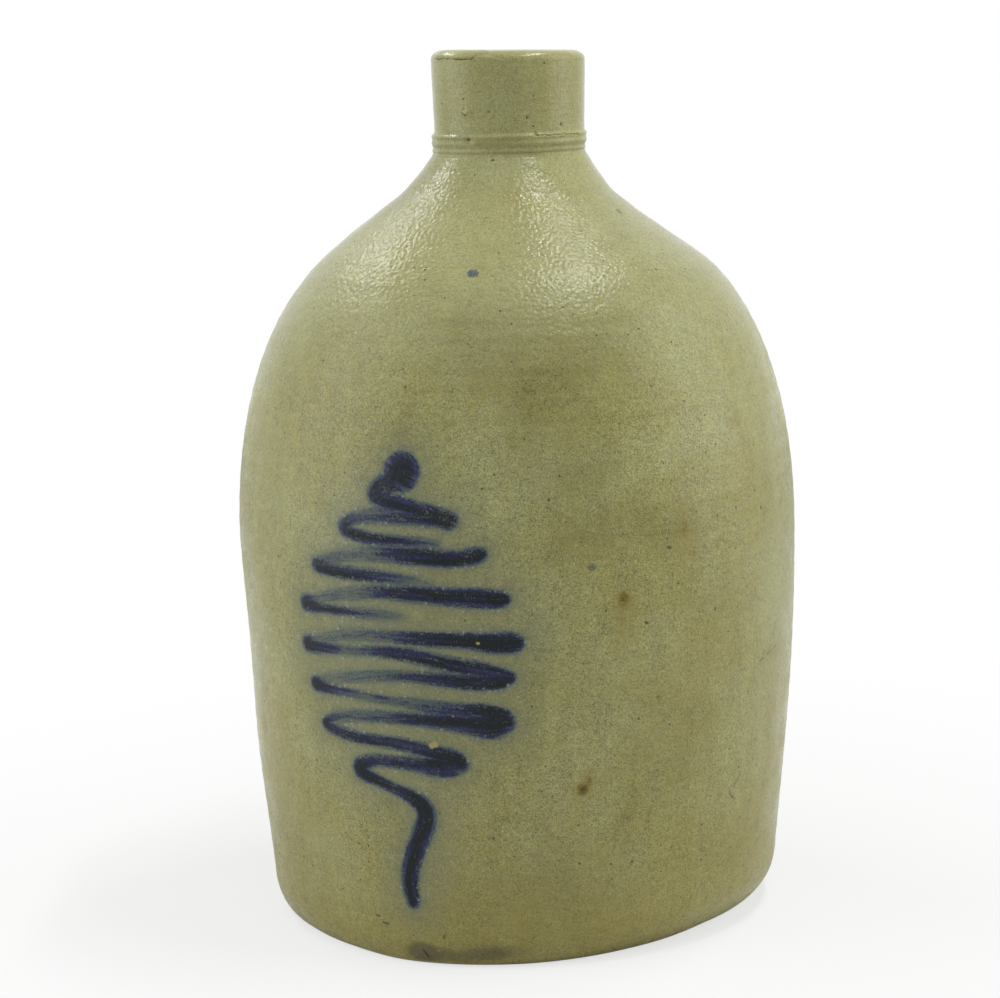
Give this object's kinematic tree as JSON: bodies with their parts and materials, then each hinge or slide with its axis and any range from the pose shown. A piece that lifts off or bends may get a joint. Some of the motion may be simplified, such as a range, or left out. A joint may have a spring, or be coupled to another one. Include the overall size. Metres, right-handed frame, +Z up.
{
  "type": "stoneware jug",
  "caption": "Salt-glazed stoneware jug with a domed shoulder, tooled collar, straight spout, strap handle and a brushed cobalt zigzag.",
  "frame": {"origin": "centre of the jug's foot, on the surface that it stands on", "axes": "+Z up along the jug's axis and out of its mouth, -Y to the decorated front, +Y to the strap handle, +X to the right as seen from the front"},
  "size_m": [0.1862, 0.1866, 0.285],
  "materials": {
    "salt_glazed_clay": "satin",
    "brown_slip": "satin",
    "cobalt_slip": "satin"
  },
  "bodies": {
    "root": {"floor_disc": "salt_glazed_clay", "barrel_wall": "salt_glazed_clay", "shoulder_dome": "salt_glazed_clay", "neck": "salt_glazed_clay", "collar_ring": "salt_glazed_clay", "spout": "salt_glazed_clay", "strap_handle": "salt_glazed_clay", "slip_lining": "brown_slip", "cobalt_zigzag": "cobalt_slip", "cobalt_drops": "cobalt_slip"}
  },
  "joints": []
}
